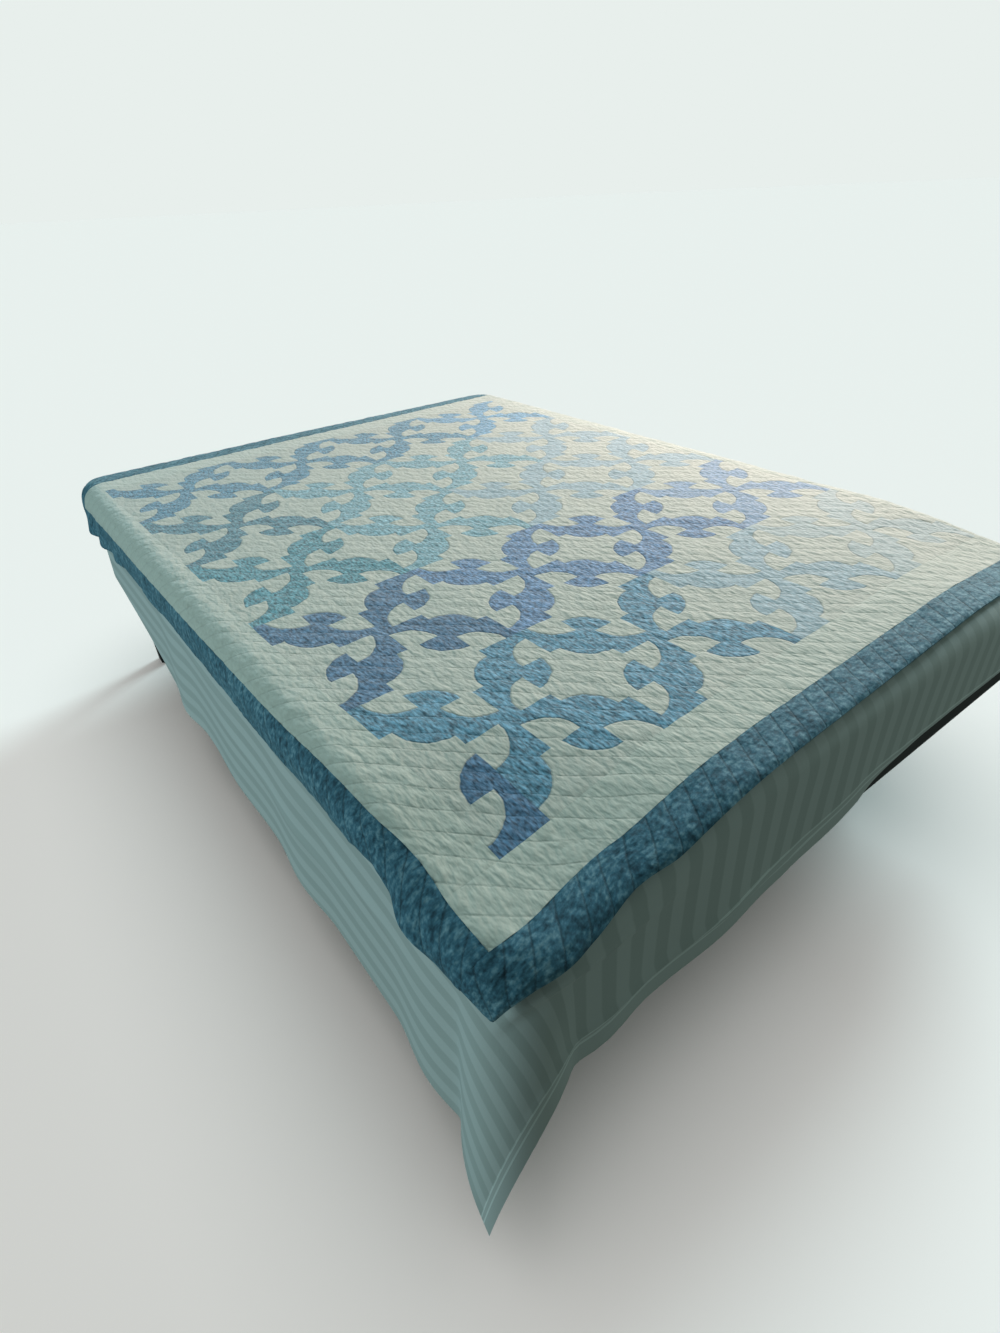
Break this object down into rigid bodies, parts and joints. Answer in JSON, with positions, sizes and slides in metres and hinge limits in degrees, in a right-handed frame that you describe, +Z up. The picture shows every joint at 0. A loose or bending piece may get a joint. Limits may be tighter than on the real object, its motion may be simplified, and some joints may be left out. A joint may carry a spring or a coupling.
{
  "type": "patchwork quilt on a double bed",
  "caption": "Patchwork quilt with white and blue borders, lying over a sheeted double mattress on a low steel bed frame, its edges rolled over the sides.",
  "frame": {"origin": "on the floor under the middle of the bed, at the foot of the centre leg", "axes": "+X to the right of the sleeper, +Y to the head of the bed, +Z up"},
  "size_m": [1.4776, 1.9433, 0.5926],
  "materials": {
    "patchwork_cotton": "pieced printed cotton, hand quilted and washed",
    "white_cotton": "plain woven cotton, quilted and washed",
    "blue_cotton": "mottled dyed cotton, quilted and washed",
    "striped_sheet": "satin striped cotton",
    "mattress_ticking": "woven ticking",
    "black_steel": "black powder coat"
  },
  "bodies": {
    "root": {"quilt_centre": "patchwork_cotton", "white_left": "white_cotton", "white_right": "white_cotton", "white_foot": "white_cotton", "white_head": "white_cotton", "blue_left": "blue_cotton", "blue_right": "blue_cotton", "blue_foot": "blue_cotton", "blue_head": "blue_cotton", "bed_sheet": "striped_sheet", "mattress": "mattress_ticking", "rail_left": "black_steel", "rail_right": "black_steel", "rail_centre": "black_steel", "rail_foot": "black_steel", "rail_head": "black_steel", "slat_01": "black_steel", "slat_02": "black_steel", "slat_03": "black_steel", "slat_04": "black_steel", "slat_05": "black_steel", "slat_06": "black_steel", "slat_07": "black_steel", "slat_08": "black_steel", "slat_09": "black_steel", "slat_10": "black_steel", "slat_11": "black_steel", "leg_foot_left": "black_steel", "leg_foot_right": "black_steel", "leg_middle_left": "black_steel", "leg_middle_right": "black_steel", "leg_head_left": "black_steel", "leg_head_right": "black_steel", "leg_centre": "black_steel"}
  },
  "joints": []
}
